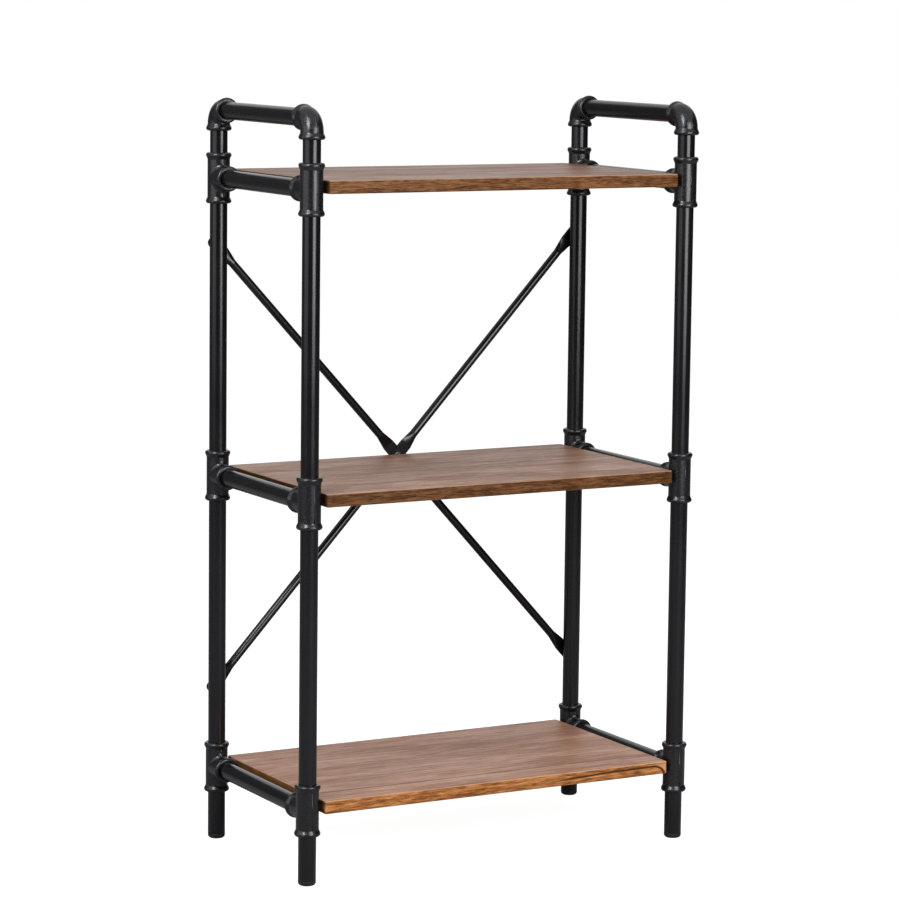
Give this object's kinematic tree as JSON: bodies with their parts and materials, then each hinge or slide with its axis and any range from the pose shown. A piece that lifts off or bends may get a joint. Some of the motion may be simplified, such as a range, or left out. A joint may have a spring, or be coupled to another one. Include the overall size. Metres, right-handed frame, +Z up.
{
  "type": "pipe shelving unit",
  "caption": "Open shelving unit with black plumbing-pipe end frames, rail handles, rustic oak boards and crossed back braces.",
  "frame": {"origin": "on the floor, in the middle of the unit's width and depth", "axes": "+X to the right seen from the front, +Y to the rear, +Z up"},
  "size_m": [0.6364, 0.3332, 1.0767],
  "materials": {
    "black_tube": "satin charcoal-black powder coat on smooth steel tube",
    "black_fitting": "satin charcoal-black powder coat, faintly grained like a casting",
    "oak_laminate": "rustic brown oak laminate, satin, grain along the board",
    "foot_plastic": "moulded black plastic",
    "dark_fastener": "black-coated steel",
    "plated_steel": "zinc-plated steel"
  },
  "bodies": {
    "root": {"left_bottom_rail": "black_tube", "left_middle_rail": "black_tube", "left_top_rail": "black_tube", "left_handle": "black_tube", "left_front_leg": "black_tube", "left_front_lower_post": "black_tube", "left_front_upper_post": "black_tube", "left_front_riser": "black_tube", "left_front_foot_cap": "foot_plastic", "left_front_elbow": "black_fitting", "left_front_bottom_tee": "black_fitting", "left_front_middle_tee": "black_fitting", "left_front_top_tee": "black_fitting", "left_rear_leg": "black_tube", "left_rear_lower_post": "black_tube", "left_rear_upper_post": "black_tube", "left_rear_riser": "black_tube", "left_rear_foot_cap": "foot_plastic", "left_rear_elbow": "black_fitting", "left_rear_bottom_tee": "black_fitting", "left_rear_middle_tee": "black_fitting", "left_rear_top_tee": "black_fitting", "right_bottom_rail": "black_tube", "right_middle_rail": "black_tube", "right_top_rail": "black_tube", "right_handle": "black_tube", "right_front_leg": "black_tube", "right_front_lower_post": "black_tube", "right_front_upper_post": "black_tube", "right_front_riser": "black_tube", "right_front_foot_cap": "foot_plastic", "right_front_elbow": "black_fitting", "right_front_bottom_tee": "black_fitting", "right_front_middle_tee": "black_fitting", "right_front_top_tee": "black_fitting", "right_rear_leg": "black_tube", "right_rear_lower_post": "black_tube", "right_rear_upper_post": "black_tube", "right_rear_riser": "black_tube", "right_rear_foot_cap": "foot_plastic", "right_rear_elbow": "black_fitting", "right_rear_bottom_tee": "black_fitting", "right_rear_middle_tee": "black_fitting", "right_rear_top_tee": "black_fitting", "bottom_shelf": "oak_laminate", "bottom_support_tabs": "black_tube", "bottom_shelf_screws": "dark_fastener", "middle_shelf": "oak_laminate", "middle_support_tabs": "black_tube", "middle_shelf_screws": "dark_fastener", "top_shelf": "oak_laminate", "top_support_tabs": "black_tube", "top_shelf_screws": "dark_fastener", "falling_back_brace": "black_tube", "rising_back_brace": "black_tube", "brace_centre_rivet": "dark_fastener", "brace_end_bolts": "dark_fastener", "brace_rivet_nuts": "plated_steel"}
  },
  "joints": []
}
